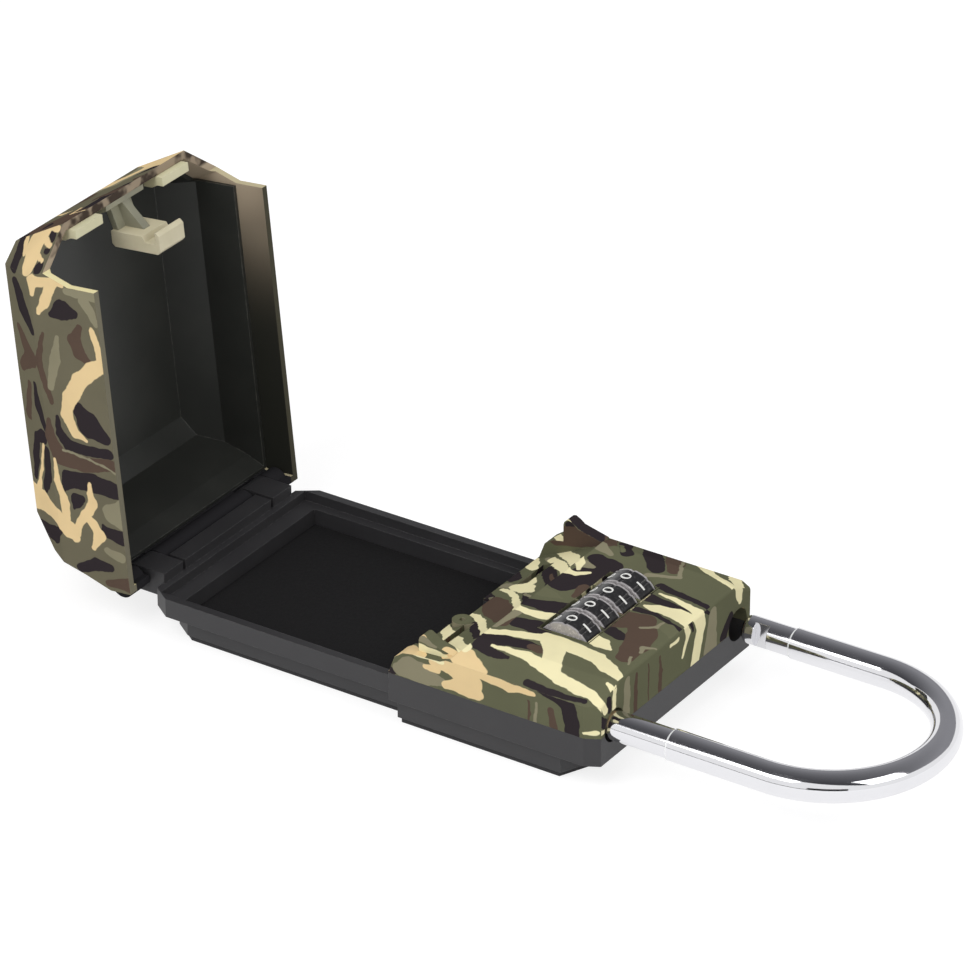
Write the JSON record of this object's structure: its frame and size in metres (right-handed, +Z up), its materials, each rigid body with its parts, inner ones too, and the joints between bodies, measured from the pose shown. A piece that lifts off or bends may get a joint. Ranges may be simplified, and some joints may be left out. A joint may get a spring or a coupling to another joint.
{
  "type": "portable key lock box",
  "caption": "Portable key lock box: flat tray with a camouflaged lock housing, code dials, a deep lid hinged at one end and a chrome shackle to hang it by.",
  "frame": {"origin": "centre of the base's back face, midway between the base's two ends", "axes": "+X from the hinge towards the shackle, +Y to the side of the shackle's short leg, +Z up from the back face towards the dials"},
  "size_m": [0.2456, 0.0704, 0.1],
  "materials": {
    "camouflage": "satin camouflage print over moulded plastic",
    "black_shell": "fine matte black",
    "back_rubber": "matte black",
    "black_liner": "matte black",
    "dial_black": "black with white digits",
    "tan_plastic": "satin tan",
    "cream_plastic": "satin cream",
    "olive_plastic": "satin grey olive",
    "chrome": "polished",
    "steel": "satin",
    "brass": "satin"
  },
  "bodies": {
    "base": {"back_shell": "black_shell", "back_pad": "back_rubber", "floor_liner": "black_liner", "lock_cover": "camouflage", "dial_bezel": "camouflage", "lock_frame": "steel", "dial_axle": "steel", "detent_spring": "steel", "long_leg_guide": "black_shell", "short_leg_guide": "black_shell", "case_screws": "steel", "frame_screws": "steel", "hinge_pin": "steel"},
    "lid": {"lid_shell": "camouflage", "lid_liner": "black_liner", "latch_post": "tan_plastic", "latch_bracket": "olive_plastic", "lid_tab_near": "cream_plastic", "lid_tab_far": "cream_plastic"},
    "dial_1_wheel": {"dial_1": "dial_black", "code_sleeve_1": "brass"},
    "dial_2_wheel": {"dial_2": "dial_black", "code_sleeve_2": "brass"},
    "dial_3_wheel": {"dial_3": "dial_black", "code_sleeve_3": "brass"},
    "dial_4_wheel": {"dial_4": "dial_black", "code_sleeve_4": "brass"},
    "shackle_carrier": {"shackle_clip": "steel"},
    "shackle_bow": {"shackle": "chrome"},
    "latch": {"latch_plate": "steel"},
    "bolt": {"shackle_bolt": "steel"},
    "reset": {"reset_button": "camouflage"}
  },
  "joints": [
    {"name": "lid_hinge", "type": "hinge", "parent": "base", "child": "lid", "pos_m": [-0.073, 0, 0.011], "axis": [0, 1, 0], "range_deg": [0, 95.6]},
    {"name": "dial_1_turn", "type": "hinge", "parent": "base", "child": "dial_1_wheel", "pos_m": [0.0432, -0.01185, 0.0219], "axis": [0, 1, 0], "continuous": true},
    {"name": "dial_2_turn", "type": "hinge", "parent": "base", "child": "dial_2_wheel", "pos_m": [0.0432, -0.00395, 0.0219], "axis": [0, 1, 0], "continuous": true},
    {"name": "dial_3_turn", "type": "hinge", "parent": "base", "child": "dial_3_wheel", "pos_m": [0.0432, 0.00395, 0.0219], "axis": [0, 1, 0], "continuous": true},
    {"name": "dial_4_turn", "type": "hinge", "parent": "base", "child": "dial_4_wheel", "pos_m": [0.0432, 0.01185, 0.0219], "axis": [0, 1, 0], "continuous": true},
    {"name": "shackle_slide", "type": "slide", "parent": "base", "child": "shackle_carrier", "axis": [-1, 0, 0], "range_m": [0, 0.018]},
    {"name": "shackle_swivel", "type": "hinge", "parent": "shackle_carrier", "child": "shackle_bow", "pos_m": [0.042, -0.0276, 0.0151], "axis": [-1, 0, 0], "range_deg": [-180, 0]},
    {"name": "latch_slide", "type": "slide", "parent": "base", "child": "latch", "axis": [-1, 0, 0], "range_m": [0, 0.003]},
    {"name": "bolt_slide", "type": "slide", "parent": "base", "child": "bolt", "axis": [0, 1, 0], "range_m": [0, 0.0022]},
    {"name": "reset_press", "type": "slide", "parent": "base", "child": "reset", "axis": [0, 0, -1], "range_m": [0, 0.0015], "stiffness_N_per_m": 200, "springref_m": -0.0005}
  ],
  "couplings": [
    {"joint": "bolt_slide", "follows": "latch_slide", "ratio": 0.7333}
  ]
}
